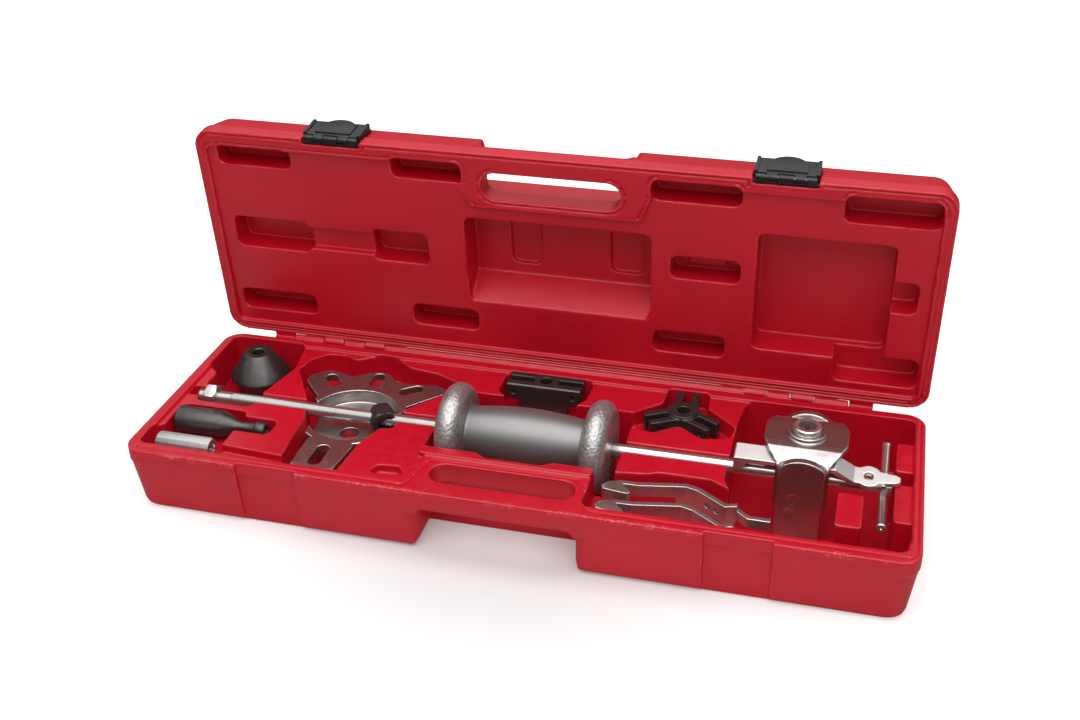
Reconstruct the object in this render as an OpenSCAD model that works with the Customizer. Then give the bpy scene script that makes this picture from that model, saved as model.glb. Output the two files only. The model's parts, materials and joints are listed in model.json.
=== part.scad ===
// Slide hammer puller kit: a sliding weight on a long rod with its cross handle, and the
// yokes, jaws, cone, adapters and flange plate that go with it, laid in a hinged moulded case.
// Millimetres, X along the case, Y from front to back, Z up from the case foot.

/* [Case] */
// Room left between each end of the rod and the end of the case
end_room = 23; // [20:0.5:30]
// Room left between the flange plate and the front and back of the case together
side_room = 54; // [48:1:66]
// Height of the base from foot to rim
base_h = 67; // [64:1:74]
// Height of the closed lid above the rim
lid_h = 48; // [46:1:58]
// Radius of the case corners seen from above
corner_r = 18; // [14:1:30]
// How far each wall leans in from rim to foot
draft = 6; // [2:0.5:9]
// Rounding of the long outer edges
edge_r = 9; // [4:0.5:11]
// Height of the thicker band under the rim
band_h = 14; // [10:1:18]
// How far the band stands proud of the wall
band_t = 1; // [0.5:0.25:2]
// Step down from the rim to the top of the tray
tray_drop = 3; // [2:0.25:4]
// Step from the lid rim to its inner face
lid_step = 4.5; // [4.4:0.1:7]
// Gap left at the seam of the closed lid
seam_gap = 0.3; // [0.3:0.1:1]
// Angle at which the opened lid rests
lid_open = 84; // [70:1:88]
// Corner rounding of the tray pockets
pocket_r = 7; // [3:0.5:10]
// Width of the groove that runs round the rim
rim_groove_w = 1.6; // [1:0.1:2]
// Depth of that groove
rim_groove_h = 1.2; // [0.5:0.1:1.5]
// Clearance under each stored tool
seat_gap = 0.3; // [0.3:0.05:0.5]

/* [Handle] */
// Length of the finger slot
slot_l = 131; // [110:1:140]
// Width of the finger slot
slot_w = 28; // [24:1:32]
// Distance of the slot middle behind the front wall
slot_in = 33; // [30:0.5:36]
// Thickness of each half of the handle bar
bar_t = 20; // [16:0.5:24]
// Length of the notch under the bar
notch_l = 140; // [134:1:150]
// Depth of that notch behind the front wall
notch_in = 51; // [49:0.5:56]
// Rounding of the notch's sides where they meet the foot
notch_round = 16; // [8:1:20]

/* [Hinge and latches] */
// Diameter of each hinge pin
hinge_pin_d = 3; // [2:0.25:4]
// Wall of a hinge knuckle round its pin
knuckle_wall = 2.3; // [1.8:0.1:3]
// Distance of the hinge axis behind the back wall
hinge_out = 4; // [3.9:0.1:6]
// Length of one hinge knuckle
knuckle_l = 22; // [14:1:28]
// Number of knuckles in each hinge
knuckles = 5; // [3:2:7]
// Distance of each hinge from the end of the case
hinge_in = 136.5; // [110:0.5:170]
// Distance of each latch from the end of the case
latch_in = 142.5; // [112:0.5:170]
// Width of a latch
latch_w = 56; // [46:1:64]
// Height of a latch flap from its pin to its edge
flap_h = 33; // [26:1:36]
// Thickness of a latch plate
latch_t = 3; // [2:0.25:4]
// Diameter of a latch pin
latch_pin_d = 2.5; // [2:0.25:3]
// Height of the latch pin above the rim
latch_rise = 3.5; // [3.3:0.1:6]
// Depth of the seat that each latch lies in
latch_sink = 6; // [4:0.25:7]

/* [Slide hammer] */
// Length of the slide rod
rod_l = 657; // [600:1:720]
// Diameter of the slide rod
rod_d = 12.7; // [10:0.1:14]
// Depth of the rod axis under the rim
rod_drop = 8; // [7.5:0.25:10]
// Length of the rod thread at its tip
thread_l = 34; // [24:1:44]
// Pitch of the thread rings
pitch = 2; // [1.5:0.25:2.5]
// Length of the sliding weight
weight_l = 159; // [140:1:165]
// Diameter of the weight's end flanges
flange_d = 88; // [76:1:90]
// Length of each flange
flange_l = 24; // [16:1:28]
// Largest diameter of the grip between the flanges
grip_d = 56; // [44:1:60]
// Diameter of the grip at its necks
neck_d = 47; // [36:1:52]
// Width across the flats of the lock nut
nut_af = 22; // [19:0.5:23]
// Length of the lock nut
nut_l = 11; // [8:0.5:14]
// Length of the cross handle
handle_l = 127; // [110:1:135]
// Diameter of the cross handle
handle_d = 7; // [6:0.25:9]
// Diameter of the swaged ends of the cross handle
knob_d = 8.6; // [8.4:0.1:11]
// Distance of the cross handle from the end of the rod
handle_in = 8; // [7:0.25:12]
// Width across the flats of the hexagonal cross adapter
adapter_af = 23; // [21:0.5:24]
// Length of the cross adapter along its own axis
adapter_l = 20; // [18:0.5:21]
// Diameter of the cross adapter's own threaded bore
adapter_bore_d = 13.4; // [11:0.1:15]
// Turn of the cross adapter on the rod seen from above
adapter_turn = 32; // [0:1:34]
// Radial clearance of parts that slide or turn on the rod
run_fit = 0.1; // [0.05:0.01:0.1]

/* [Cone and couplings] */
// Largest diameter of the pulling cone
cone_d = 61; // [54:0.5:62]
// Diameter of the cone's flat top
cone_top_d = 27; // [22:0.5:32]
// Diameter of the cone's foot
cone_foot_d = 44; // [36:0.5:50]
// Height of the cone above its widest place
cone_rise = 25; // [20:0.5:27]
// Height of the tapered foot below it
cone_drop = 18; // [12:0.5:20]
// Diameter of the taper adapter's body
taper_d = 26; // [20:0.5:27]
// Length of the taper adapter's straight body
taper_body_l = 44; // [38:1:48]
// Whole length of the taper adapter
taper_l = 89; // [80:1:92]
// Diameter of its neck
taper_neck_d = 11; // [9:0.25:13]
// Diameter of the ring at its end
taper_ring_d = 15; // [13:0.25:17]
// Width across the flats of the long hexagonal coupling
coupling_af = 18; // [15:0.5:19]
// Length of the long coupling
coupling_l = 53; // [44:1:56]
// Diameter of its threaded bore
coupling_bore_d = 11; // [8:0.25:12.5]

/* [Flange plate] */
// Radius of the hollow in the middle of the flange plate
bowl_r = 43; // [40:0.5:45]
// Thickness of its lobes and ear
lobe_t = 8; // [5:0.5:10]
// Depth of its sunk hub below the lobes
hub_drop = 13.5; // [13:0.25:15]
// Thickness of the sunk hub
hub_t = 9; // [6:0.5:11]
// Diameter of the threaded hole in the hub
hub_hole_d = 18; // [12:0.5:22]
// Width of the stud slots
stud_slot_w = 12; // [9:0.5:13]
// Reach of the stud slots in the lobes
stud_slot_l = 24; // [18:0.5:26]
// Length of the slot in the ear
ear_slot_l = 32; // [24:0.5:34]

/* [Crossheads and jaws] */
// Length of the two jaw crosshead
cross_l = 73; // [64:1:76]
// Width of the two jaw crosshead
cross_w = 25; // [20:0.5:27]
// Height of the two jaw crosshead
cross_h = 29; // [22:0.5:30]
// Width of the slots that take the jaws
jaw_slot_w = 8; // [6.5:0.25:10]
// Diameter of the threaded holes in both crossheads
cross_hole_d = 12; // [9:0.25:14]
// Reach of each arm of the three jaw crosshead
arm_reach = 36; // [32:0.5:36.5]
// Width of each arm
arm_w = 21.5; // [17:0.5:23]
// Height of the three jaw crosshead
arm_h = 20; // [15:0.5:22]
// Diameter of its boss
arm_boss_d = 28; // [22:0.5:32]
// Thickness of a jaw
jaw_t = 5.5; // [4:0.25:6]
// Height of a jaw stored on its edge
jaw_h = 19; // [15:0.5:21]
// Length of a jaw
jaw_l = 146; // [136:1:150]

/* [Bridge yoke and lever] */
// Length of the yoke across its two legs
yoke_d = 87; // [82:0.5:92]
// Width of the yoke's legs
leg_w = 40; // [34:0.5:46]
// Width of the yoke's flared top
yoke_w = 74; // [64:0.5:78]
// Thickness of the legs
leg_t = 7.5; // [6:0.25:8]
// Rise of the yoke's top above the rim
yoke_rise = 24; // [23:0.25:26]
// Thickness of the arch at its crown
crown_t = 5.6; // [5:0.1:5.8]
// Diameter of the boss on the crown
boss_d = 34; // [28:0.5:38]
// Height of the boss
boss_h = 3.5; // [2:0.25:5]
// Diameter of the threaded bush in the boss
bush_d = 25; // [21:0.5:27]
// Height of the bush above the boss
bush_h = 5; // [3:0.25:6]
// Bore of the bush
bush_bore_d = 16; // [12:0.25:17.5]
// Width of the hook lever
lever_w = 18; // [14:0.5:19]
// Thickness of the hook lever
lever_t = 5; // [4:0.25:5.4]
// Length of the hook lever
lever_l = 143; // [132:1:146]
// Tilt of the lever towards the front
lever_tilt = 16; // [0:1:18]
// Outer diameter of the lever's eye
eye_d = 23; // [19:0.5:25]
// Hole in the lever's eye
eye_hole_d = 8; // [6:0.25:12]

/* [Hidden] */
$fn = 48;
hull_fn = 32;
arc_steps = 4;
over = 1;
pin_fit = 0.05;
eps = 0.01;

// Case sizes that follow from the tools, its depth from the reach of lobes and ear together
plate_reach_share = 4;
case_l = rod_l + 2 * end_room;
case_d = plate_reach_share * bowl_r + side_room;
half_l = case_l / 2;
half_d = case_d / 2;
tray_z = base_h - tray_drop;
lid_face = base_h + lid_step;
lid_top = base_h + lid_h;
slot_y = slot_in - half_d;
mid_share = -0.008;
mid_x = mid_share * half_l;
notch_y = notch_in - half_d;

// Slide hammer places
rod_r = rod_d / 2;
rod_z = base_h - rod_drop;
rod_y_share = 0.0177;
rod_y = rod_y_share * half_d;
rod_x_share = -0.0071;
rod_x = rod_x_share * half_l;
rod_tip = rod_x - rod_l / 2;
rod_end = rod_x + rod_l / 2;
weight_x_share = -0.0043;
weight_x = weight_x_share * half_l;
nut_x_share = -0.9014;
nut_x = nut_x_share * half_l;
adapter_x_share = -0.4057;
adapter_x = adapter_x_share * half_l;
handle_x = rod_end - handle_in;
handle_y_share = 0.031;
handle_y = handle_y_share * half_d;

// Cone, taper adapter and coupling places
cone_x_share = -0.86;
cone_x = cone_x_share * half_l;
cone_y_share = 0.655;
cone_y = cone_y_share * half_d;
cone_top = base_h + lid_step - seat_gap;
cone_waist = cone_top - cone_rise;
cone_foot = cone_waist - cone_drop;
taper_x_share = -0.943;
taper_x = taper_x_share * half_l;
taper_y_share = -0.356;
taper_y = taper_y_share * half_d;
taper_sink_share = 0.365;
taper_z = base_h - taper_sink_share * taper_d;
coupling_x_share = -0.943;
coupling_x = coupling_x_share * half_l;
coupling_y_share = -0.708;
coupling_y = coupling_y_share * half_d;
coupling_sink_share = 0.56;
coupling_z = base_h - coupling_sink_share * coupling_af;

// Flange plate places
plate_x_share = -0.4914;
plate_x = plate_x_share * half_l;
plate_y_share = 0.0177;
plate_y = plate_y_share * half_d;
plate_top = tray_z - tray_drop - over;
hub_top = plate_top - hub_drop;
hub_foot = hub_top - hub_t;
hub_hole_y_share = -0.28;

// Crosshead and jaw places
cross_x_share = -0.0157;
cross_x = cross_x_share * half_l;
cross_y_share = 0.774;
cross_y = cross_y_share * half_d;
cross_top = base_h + tray_drop;
arms_x_share = 0.3743;
arms_x = arms_x_share * half_l;
arms_y_share = 0.62;
arms_y = arms_y_share * half_d;
arms_top = base_h + over;
jaw_x_share = 0.234;
jaw_x = jaw_x_share * half_l;
jaw_y_share = -0.5;
jaw_y = jaw_y_share * half_d;
jaw_gap_share = 0.257;
jaw_gap = jaw_gap_share * half_d;
jaw_foot = tray_z - tray_drop - over - jaw_h;

// Bridge yoke and lever places
yoke_x_share = 0.706;
yoke_x = yoke_x_share * half_l;
yoke_y_share = 0.1814;
yoke_y = yoke_y_share * half_d;
yoke_top = base_h + yoke_rise;
yoke_foot = 6;
lever_end_share = 0.943;
lever_end = lever_end_share * half_l;
lever_y_share = -0.009;
lever_y = lever_y_share * half_d;
lever_high = yoke_top - crown_t - seat_gap - lever_t - lever_w / 2 * sin(lever_tilt);
lever_low = rod_z + rod_r + seat_gap;

// Hinge and latch places
hinge_x = half_l - hinge_in;
latch_x = half_l - latch_in;
hinge_y = half_d + hinge_out;
knuckle_r = hinge_pin_d / 2 + knuckle_wall;
hinge_gap = 0.4;
hinge_l = knuckles * knuckle_l;
latch_seat_y = latch_sink - half_d;
latch_pin_y = latch_seat_y - 2 * latch_t;
latch_pin_z = base_h + latch_rise;
latch_knuckle_r = latch_pin_d / 2 + latch_t / 2;
ledge_y = latch_pin_y + latch_knuckle_r + latch_t / 2 + seat_gap;
ledge_step = 2;

// Colours
case_red = [0.78, 0.02, 0.06];
latch_black = [0.07, 0.07, 0.08];
chrome = [0.82, 0.80, 0.77];
hammered = [0.50, 0.51, 0.53];
oxide = [0.10, 0.10, 0.11];
cast_chrome = [0.62, 0.52, 0.50];

// Tray outlines in shares of half the case length and half its depth
tray_shares = [[-0.969, 0.912], [-0.969, -0.858], [-0.286, -0.858], [-0.229, -0.504],
  [0.229, -0.504], [0.272, -0.858], [0.969, -0.858], [0.969, 0.912]];
rim_groove_shares = [[-0.986, 0.93], [-0.986, -0.925], [-0.237, -0.925], [-0.212, -0.55],
  [0.19, -0.55], [0.217, -0.925], [0.986, -0.925], [0.986, 0.93]];
cone_pocket_shares = [[-0.974, 0.945], [-0.974, 0.42], [-0.94, 0.33], [-0.94, 0.11],
  [-0.766, 0.11], [-0.735, 0.56], [-0.755, 0.945]];
nut_pocket_shares = [[-0.934, 0.165], [-0.934, -0.13], [-0.766, -0.13], [-0.766, 0.165]];
left_pocket_shares = [[-0.974, -0.86], [-0.974, -0.6], [-0.953, -0.53], [-0.953, -0.2],
  [-0.763, -0.2], [-0.763, -0.86]];
left_step_shares = [[-0.974, -0.59], [-0.763, -0.59], [-0.763, -0.86], [-0.974, -0.86]];
neck_notch_shares = [[-0.8, -0.49], [-0.665, -0.49], [-0.665, -0.275], [-0.8, -0.275]];
front_trough_shares = [[-0.8, -0.862], [-0.43, -0.862], [-0.43, -0.76], [-0.56, -0.755],
  [-0.762, -0.71], [-0.8, -0.71]];
fan_pocket_shares = [[-0.72, 0.55], [-0.706, 0.74], [-0.672, 0.86], [-0.615, 0.87],
  [-0.58, 0.81], [-0.55, 0.88], [-0.512, 0.925], [-0.46, 0.905], [-0.415, 0.8],
  [-0.33, 0.76], [-0.262, 0.66], [-0.262, 0.5], [-0.356, 0.14], [-0.356, -0.17],
  [-0.39, -0.17], [-0.42, -0.45], [-0.43, -0.862], [-0.585, -0.862], [-0.598, -0.45],
  [-0.604, -0.17], [-0.614, -0.09], [-0.635, 0.1]];
bump_notch_shares = [[-0.349, -0.79], [-0.334, -0.68], [-0.28, -0.665], [-0.252, -0.81]];
weight_pocket_shares = [[-0.249, -0.4], [0.252, -0.4], [0.252, 0.54], [-0.249, 0.54]];
finger_notch_shares = [[-0.074, -0.46], [0.069, -0.46], [0.1, -0.3], [-0.105, -0.3]];
cross_pocket_shares = [[-0.138, 0.92], [-0.138, 0.62], [-0.1, 0.5], [0.08, 0.5],
  [0.106, 0.63], [0.112, 0.92]];
arms_pocket_shares = [[0.232, 0.5], [0.236, 0.33], [0.31, 0.28], [0.373, 0.43],
  [0.438, 0.28], [0.51, 0.33], [0.518, 0.5], [0.436, 0.74], [0.43, 0.955], [0.318, 0.955],
  [0.312, 0.74]];
jaw_pocket_shares = [[0.204, -0.862], [0.204, -0.37], [0.262, -0.34], [0.335, -0.31],
  [0.36, -0.27], [0.49, -0.27], [0.56, -0.4], [0.66, -0.43], [0.66, -0.862]];
right_pocket_shares = [[0.535, 0.915], [0.522, 0.6], [0.522, -0.24], [0.56, -0.5],
  [0.62, -0.868], [0.96, -0.868], [0.974, -0.7], [0.974, 0.915]];
inner_block_shares = [[0.797, -0.2], [0.86, -0.2], [0.86, -0.628], [0.797, -0.628]];
back_block_shares = [[0.931, 0.58], [0.99, 0.58], [0.99, 0.18], [0.931, 0.18]];
front_block_shares = [[0.931, 0.0], [0.99, 0.0], [0.99, -0.49], [0.931, -0.49]];
ridge_shares = [[-0.249, -0.504], [0.203, -0.504], [0.203, -0.4], [0.1, -0.4],
  [0.069, -0.46], [-0.074, -0.46], [-0.105, -0.4], [-0.249, -0.4]];

// Lid recesses as left, right, front and back shares of half the case length and depth
lid_recess_shares = [[-0.943, -0.731, -0.867, -0.681], [-0.443, -0.246, -0.894, -0.70],
  [0.254, 0.483, -0.903, -0.708], [0.734, 0.966, -0.911, -0.664],
  [-0.949, -0.72, 0.575, 0.779], [-0.423, -0.231, 0.54, 0.752],
  [0.263, 0.457, 0.531, 0.743], [0.306, 0.489, -0.212, 0.0]];
dumbbell_end_shares = [[-0.931, -0.706, -0.177, 0.124], [-0.523, -0.36, -0.177, 0.124]];
dumbbell_bar_share = [-0.72, -0.51, -0.13, 0.08];
small_sub_share = [0.349, 0.446, -0.195, -0.053];
weight_recess_share = [-0.252, 0.254, -0.381, 0.442];
weight_floor_share = 0.28;
weight_sub_shares = [[-0.149, -0.063, -0.274, 0.186], [0.129, 0.22, -0.274, 0.186]];
yoke_recess_share = [0.528, 0.872, -0.49, 0.605];
yoke_recess_tee_share = [0.85, 0.937, -0.17, 0.115];
yoke_recess_end_share = [0.745, 0.963, 0.55, 0.83];
recess_depth_share = 0.3;
sub_depth_share = 0.09;
weight_wall = 11;
yoke_wall = 13;

// Flange plate outline in shares of the bowl radius, from the middle of the bowl
lobe_shares = [[-0.93, 0.39], [-1.58, 1.12], [-1.6, 1.34], [-1.24, 1.68], [-1.02, 1.66],
  [-0.62, 1.52], [-0.2, 1.82], [0.12, 1.86], [0.5, 1.5], [0.9, 1.52], [1.4, 1.6],
  [1.68, 1.48], [1.72, 1.3], [1.5, 1.05], [0.97, 0.46]];
lobe_slot_shares = [[-0.98, 1.26, 128], [0.0, 1.5, 90], [0.92, 1.24, 38]];
ear_shares = [[-0.6, -1.06], [0.48, -1.14], [0.36, -2.14], [-0.58, -2.14]];
hub_shares = [[-0.93, 0.39], [-0.6, 0.8], [0.0, 1.0], [0.6, 0.8], [0.93, 0.39],
  [0.62, -0.3], [0.48, -1.16], [-0.6, -1.08], [-0.68, -0.3], [-0.78, 0.2]];
ear_slot_share = [-0.12, -1.66];

// Jaw outline seen from above, as shares of the jaw length
jaw_path_shares = [[0.0, 0.0], [0.03, 0.045], [0.1, 0.07], [0.2, 0.072], [0.48, 0.125],
  [0.56, 0.1], [0.73, -0.02], [0.8, 0.0], [0.87, -0.06], [1.0, -0.06]];
jaw_claw_shares = [[-0.012, 0.02], [-0.004, -0.018], [0.06, -0.03], [0.15, -0.04], [0.175, -0.025],
  [0.155, 0.0], [0.12, 0.03], [0.1, 0.072], [0.06, 0.06]];
jaw_slim_share = 0.42;
jaw_slim_h_share = 0.62;

// Plan of the yoke's crown, right half, as shares of its half width and half depth
crown_shares = [[0.54, -1.1], [0.54, -0.93], [0.82, -0.62], [0.98, -0.3], [0.98, 0.3],
  [0.82, 0.62], [0.54, 0.93], [0.54, 1.1]];

// Round marks on the front leg: place across and up, and diameter, as shares of the leg
leg_mark_shares = [[-0.12, 0.5, 0.3], [-0.2, 0.34, 0.22]];

// Side outline of the lever in shares of its length, with the rise of its crank from 0 to 1
lever_hook_share = 0.085;
lever_kink_shares = [0.594, 0.71];
eye_at_share = 0.81;
tip_w_share = 0.28;

// Outline helpers
function unit_v(v) = v / norm(v);
function spread(shares, a, b) = [for (s = shares) [s[0] * a, s[1] * b]];
function corner_arc(a, p, b, r) =
  let (u = unit_v(a - p), v = unit_v(b - p), half = acos(u * v) / 2,
       reach = min(r / tan(half), norm(a - p) / 2.2, norm(b - p) / 2.2),
       middle = p + unit_v(u + v) * reach / cos(half),
       from = p + u * reach - middle, to = p + v * reach - middle, turn = 180 - 2 * half)
  [for (k = [0:arc_steps]) let (t = k / arc_steps)
    middle + (sin((1 - t) * turn) * from + sin(t * turn) * to) / sin(turn)];
function soft(pts, r) = [for (i = [0:len(pts) - 1])
  each corner_arc(pts[(i + len(pts) - 1) % len(pts)], pts[i], pts[(i + 1) % len(pts)], r)];
function box_pts(s) = [[s[0], s[2]], [s[1], s[2]], [s[1], s[3]], [s[0], s[3]]];
function case_pts(shares) = spread(shares, half_l, half_d);

module prism(pts, low, high) {
  translate([0, 0, low]) linear_extrude(high - low) polygon(pts);
}

module pocket(shares, floor_z, r = pocket_r) {
  prism(soft(case_pts(shares), r), floor_z, base_h + lid_h);
}

module block(x0, x1, y0, y1, z0, z1) {
  translate([x0, y0, z0]) cube([x1 - x0, y1 - y0, z1 - z0]);
}

module plate(l, d, r, h) {
  for (size = [[l - 2 * r, d], [l, d - 2 * r]])
    translate([-size[0] / 2, -size[1] / 2, 0]) cube([size[0], size[1], h]);
  for (x = [r - l / 2, l / 2 - r], y = [r - d / 2, d / 2 - r])
    translate([x, y, 0]) cylinder(r = r, h = h);
}

module stadium(l, w, h) {
  translate([-(l - w) / 2, -w / 2, 0]) cube([l - w, w, h]);
  for (side = [-1, 1]) translate([side * (l - w) / 2, 0, 0]) cylinder(d = w, h = h);
}

module rod_along_x(r, x0, x1) {
  translate([x0, 0, 0]) rotate([0, 90, 0]) cylinder(r = r, h = x1 - x0);
}

function hex_r(af) = af / 2 / cos(30);

module hexagon(af, h) {
  cylinder(r = hex_r(af), h = h, $fn = 6);
}

// Case walls that lean in from the rim and round over at the closed side
module leaning_shell(h) {
  hull() {
    for (turn = [0:30:90])
      translate([0, 0, edge_r * (1 - cos(turn))])
        plate(case_l - 2 * (draft + edge_r * (1 - sin(turn))),
          case_d - 2 * (draft + edge_r * (1 - sin(turn))), corner_r - draft / 2, eps,
          $fn = hull_fn);
    translate([0, 0, h - band_h])
      plate(case_l - 2 * band_t, case_d - 2 * band_t, corner_r - band_t, eps, $fn = hull_fn);
  }
  translate([0, 0, h - band_h]) plate(case_l, case_d, corner_r, band_h);
}

module handle_slot(low, high) {
  translate([mid_x, slot_y, low]) stadium(slot_l, slot_w, high - low);
}

// Notch under the handle bar: one cut rounds its foot edges, one its upright edges
module handle_notch(bar, foot) {
  way = foot > bar ? over : -over;
  side = notch_l / 2;
  r = pocket_r;
  big = notch_round;
  wide = side + 2 * big;
  front = draft / 2 - half_d;
  translate([mid_x, notch_y, 0]) rotate([90, 0, 0]) linear_extrude(2 * notch_in)
    polygon(concat([[-wide, foot + way]], corner_arc([-wide, foot], [-side, foot],
      [-side, bar], big), corner_arc([-side, foot], [-side, bar], [0, bar], r),
      corner_arc([0, bar], [side, bar], [side, foot], r),
      corner_arc([side, bar], [side, foot], [wide, foot], big), [[wide, foot + way]]));
  translate([mid_x, 0, 0]) prism(concat([[-wide, 2 * front]],
    corner_arc([-wide, front], [-side, front], [-side, notch_y], big),
    [[r - side, notch_y], [side - r, notch_y]],
    corner_arc([side, notch_y], [side, front], [wide, front], big), [[wide, 2 * front]]),
    foot > bar ? bar + r : foot - over, foot > bar ? foot + over : bar - r);
}

// Hinge knuckles, even ones on the base and odd ones on the lid
module knuckle_set(first, web_low, web_high) {
  for (side = [-1, 1], k = [first:2:knuckles - 1])
    translate([side * hinge_x - hinge_l / 2 + k * knuckle_l + hinge_gap / 2, 0, 0])
      difference() {
        union() {
          translate([0, hinge_y, base_h]) rod_along_x(knuckle_r, 0, knuckle_l - hinge_gap);
          block(0, knuckle_l - hinge_gap, half_d - draft, hinge_y, web_low, web_high);
        }
        translate([0, hinge_y, base_h])
          rod_along_x(hinge_pin_d / 2 + pin_fit, -over, knuckle_l + over);
      }
}

module case_base() {
  color(case_red) {
    difference() {
      leaning_shell(base_h);
      tray_cuts();
      handle_slot(0, base_h + over);
      handle_notch(base_h - bar_t, 0);
      for (side = [-1, 1]) latch_bay(mid_x + side * latch_x);
    }
    tray_blocks();
    knuckle_set(0, base_h - band_h, base_h - hinge_gap);
    hinge_roll();
  }
}

// Roll behind the rim between and beside the hinges, on the hinge axis, clear of the lid
module hinge_roll() {
  roll_r = hinge_out - hinge_gap;
  inner = hinge_x - hinge_l / 2 - hinge_gap;
  outer = hinge_x + hinge_l / 2 + 2 * hinge_gap;
  end = hinge_x + hinge_l / 2 + knuckle_l / 2 - 2 * hinge_gap;
  for (span = [[-inner, inner], [-end, -outer], [outer, end]]) {
    translate([0, hinge_y, base_h]) rod_along_x(roll_r, span[0], span[1]);
    block(span[0], span[1], half_d - draft, hinge_y, base_h - band_h, base_h - hinge_gap);
  }
}

// Bay in the base's front wall for a closed latch, with a ledge across its top
module latch_bay(x) {
  front = -half_d - over;
  translate([x, 0, 0]) across_x([[front, -over], [ledge_y + draft, -over],
    [ledge_y + ledge_step, base_h - band_h], [ledge_y, base_h - band_h],
    [ledge_y, base_h + over], [front, base_h + over]], latch_w + 2 * seat_gap);
}

module tray_cuts() {
  pocket(tray_shares, tray_z);
  pocket(cone_pocket_shares, cone_foot - seat_gap);
  pocket(nut_pocket_shares, rod_z - hex_r(nut_af) - over);
  difference() {
    pocket(left_pocket_shares, taper_z - taper_d / 2 - seat_gap);
    prism(case_pts(left_step_shares), 0, coupling_z - coupling_af / 2 - seat_gap);
  }
  pocket(neck_notch_shares, taper_z - taper_ring_d / 2 - seat_gap);
  pocket(front_trough_shares, tray_z - lobe_t);
  pocket(fan_pocket_shares, hub_foot - seat_gap);
  plate_pocket();
  pocket(bump_notch_shares, tray_z - lobe_t, pocket_r / 2);
  pocket(weight_pocket_shares, rod_z - flange_d / 2 - over);
  pocket(finger_notch_shares, rod_z - grip_d / 2);
  pocket(cross_pocket_shares, cross_top - cross_h - seat_gap);
  pocket(arms_pocket_shares, arms_top - arm_h - seat_gap);
  pocket(jaw_pocket_shares, jaw_foot - seat_gap);
  pocket(right_pocket_shares, yoke_foot - seat_gap);
  rod_channel();
  rim_groove();
}

// Room right round the flange plate, whatever its size
module plate_pocket() {
  reach = bowl_r + seat_gap;
  for (shares = [lobe_shares, ear_shares]) translate([plate_x, plate_y, 0])
    prism(soft(spread(shares, reach, reach), bowl_r / 6), hub_foot - seat_gap, base_h + over);
}

// Groove along the left, front and right of the rim that goes round behind the finger slot
module rim_groove() {
  path = case_pts(rim_groove_shares);
  last = len(path) - 1;
  prism(band_pts(concat([path[0]], [for (i = [1:last - 1])
    each corner_arc(path[i - 1], path[i], path[i + 1], pocket_r)], [path[last]]),
    rim_groove_w), base_h - rim_groove_h, base_h + over);
}

module rod_channel() {
  channel_r = rod_r + handle_d / 4;
  translate([rod_tip - channel_r, rod_y - channel_r, rod_z - rod_r - seat_gap])
    cube([rod_end - rod_tip, 2 * channel_r, base_h]);
}

module tray_blocks() {
  for (shares = [inner_block_shares, back_block_shares, front_block_shares])
    prism(soft(case_pts(shares), pocket_r / 2), yoke_foot - over, tray_z);
  prism(soft(case_pts(ridge_shares), pocket_r / 2), tray_z - over,
    base_h + tray_drop - band_t / 2);
}

// The lid is drawn closed and then swung up about the hinge axis
module swung_open() {
  translate([0, hinge_y, base_h]) rotate([-lid_open, 0, 0]) translate([0, -hinge_y, -base_h])
    children();
}

module lid_recess(share, floor_z, r = pocket_r) {
  prism(soft(case_pts(box_pts(share)), r), base_h - over, floor_z);
}

module case_lid() {
  color(case_red) swung_open() {
    difference() {
      translate([0, 0, lid_top]) mirror([0, 0, 1]) leaning_shell(lid_h - seam_gap);
      lid_cuts();
      for (side = [-1, 1]) lid_latch_seat(mid_x + side * latch_x);
    }
    knuckle_set(1, base_h + hinge_gap, base_h + band_h);
  }
  color(case_red) stop_tabs();
}

// Seat sunk into the lid's front wall, open at the rim, that takes one latch
module lid_latch_seat(x) {
  block(x - latch_w / 2 - seat_gap, x + latch_w / 2 + seat_gap, -half_d - over, latch_seat_y,
    base_h - over, latch_pin_z + flap_h + latch_t);
}

module lid_cuts() {
  shallow = lid_face + recess_depth_share * lid_h;
  prism(soft(case_pts(tray_shares), pocket_r), base_h - over, lid_face);
  handle_slot(base_h - over, lid_top + over);
  handle_notch(base_h + bar_t, lid_top);
  for (share = lid_recess_shares) lid_recess(share, shallow);
  for (share = dumbbell_end_shares) lid_recess(share, shallow);
  lid_recess(dumbbell_bar_share, lid_face + recess_depth_share * lid_h / 2, pocket_r / 2);
  lid_recess(small_sub_share, shallow + sub_depth_share * lid_h, pocket_r / 2);
  weight_recess();
  for (share = weight_sub_shares)
    lid_recess(share, lid_top - weight_wall + sub_depth_share * lid_h);
  lid_recess(yoke_recess_share, lid_top - yoke_wall);
  for (share = [yoke_recess_tee_share, yoke_recess_end_share]) lid_recess(share, shallow);
}

// The weight's recess has a sloping wall on the hinge side
module weight_recess() {
  s = weight_recess_share;
  floor_z = lid_top - weight_wall;
  intersection() {
    lid_recess(s, floor_z);
    translate([s[0] * half_l, 0, 0]) rotate([90, 0, 90])
      linear_extrude((s[1] - s[0]) * half_l)
        polygon([[s[2] * half_d, base_h - over], [s[3] * half_d, base_h - over],
          [s[3] * half_d, lid_face], [weight_floor_share * half_d, floor_z],
          [s[2] * half_d, floor_z]]);
  }
}

// Tabs under the opened lid that meet the back wall of the base, drawn as opened
module stop_tabs() {
  back = hinge_y + hinge_out;
  for (side = [-1, 1]) translate([side * (hinge_x + hinge_l / 2 + knuckle_l), 0, 0]) {
    block(-knuckle_l / 2, knuckle_l / 2, half_d + seat_gap, back, base_h - band_h,
      base_h - over);
    block(-knuckle_l / 2, knuckle_l / 2, hinge_y + hinge_gap, back, base_h - 2 * over,
      base_h + hinge_out + over);
  }
}

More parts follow.
